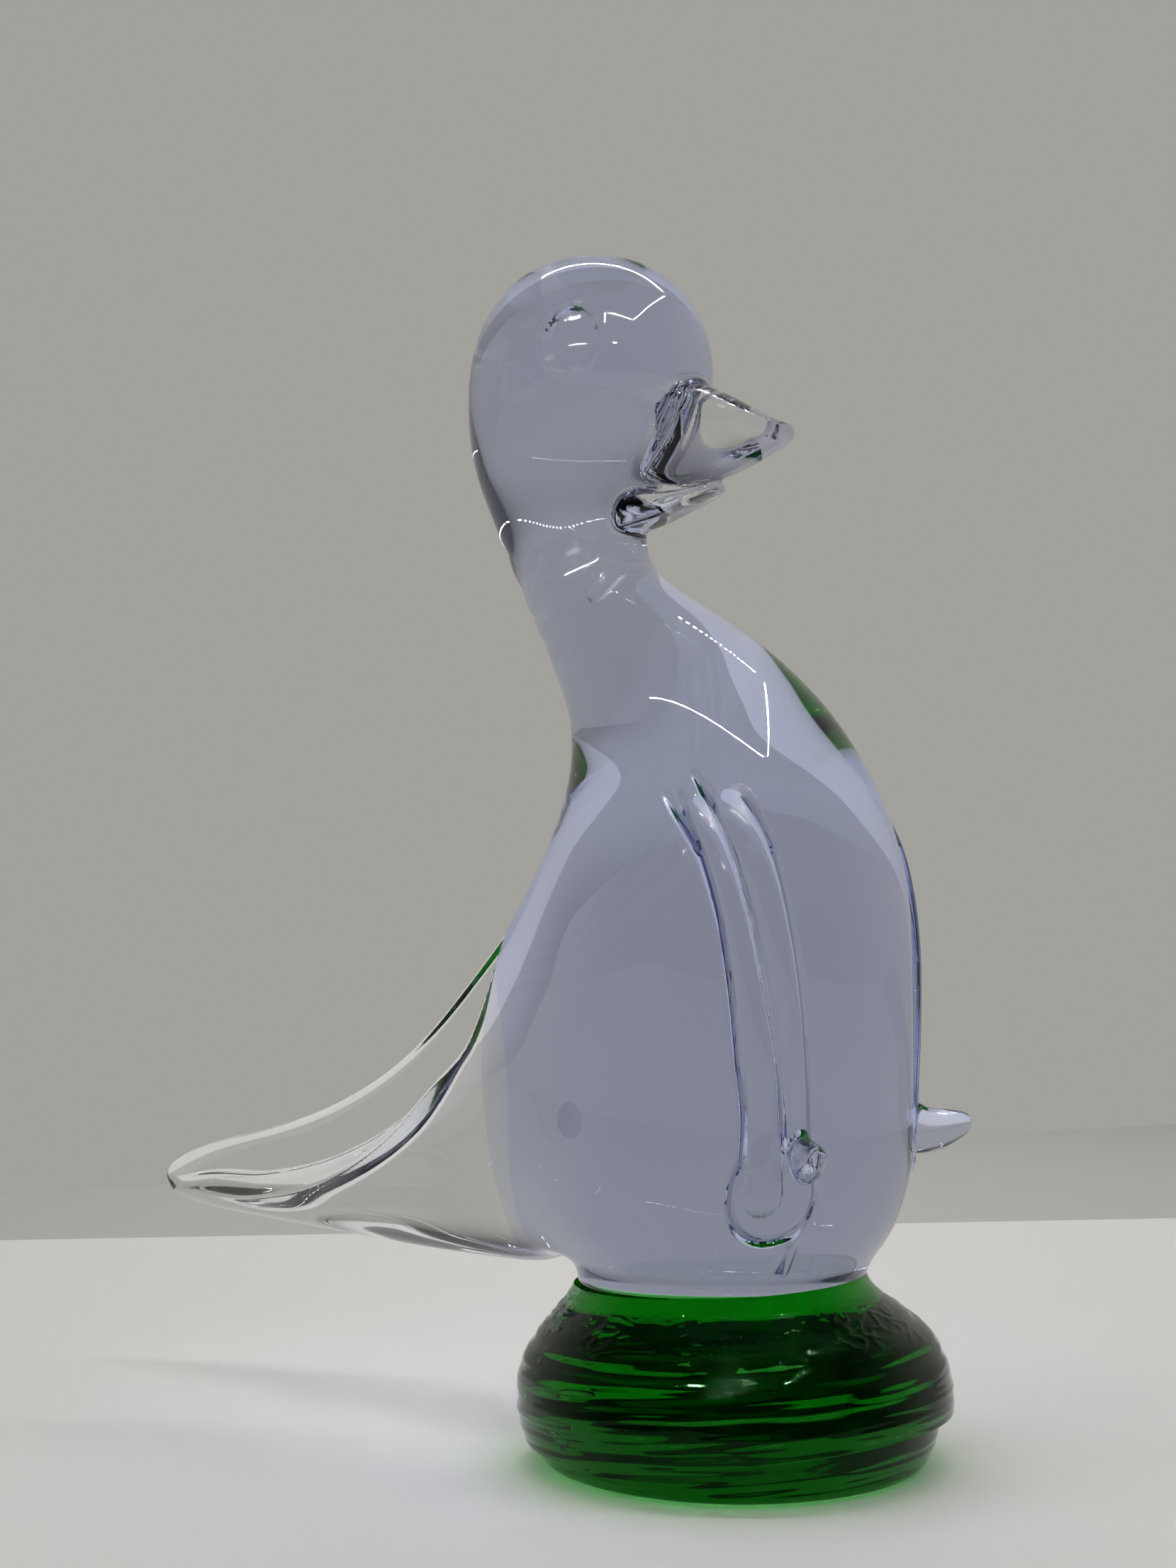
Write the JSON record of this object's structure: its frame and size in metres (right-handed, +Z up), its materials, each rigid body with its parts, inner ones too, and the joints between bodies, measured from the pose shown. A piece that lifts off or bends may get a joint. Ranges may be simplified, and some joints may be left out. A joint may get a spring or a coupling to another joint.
{
  "type": "glass duck figurine",
  "caption": "Standing duck ornament of lilac glass with a long tail, parted bill and ribbed wings, on a round green glass base.",
  "frame": {"origin": "middle of the flat round underside of the green base, which is the face the figurine stands on", "axes": "+Z up, +X towards the bill, +Y towards the duck's own left wing"},
  "size_m": [0.1436, 0.0652, 0.1803],
  "materials": {
    "lilac_glass": "clear pale lilac glass, fire polished",
    "clear_glass": "nearly colourless glass, fire polished",
    "green_glass": "deep green glass, fire polished, with fine wrinkles"
  },
  "bodies": {
    "root": {"base_foot": "green_glass", "base_wrap": "green_glass", "body": "lilac_glass", "head": "lilac_glass", "tail": "clear_glass", "upper_bill": "clear_glass", "lower_bill": "clear_glass", "right_wing": "lilac_glass", "left_wing": "lilac_glass"}
  },
  "joints": []
}
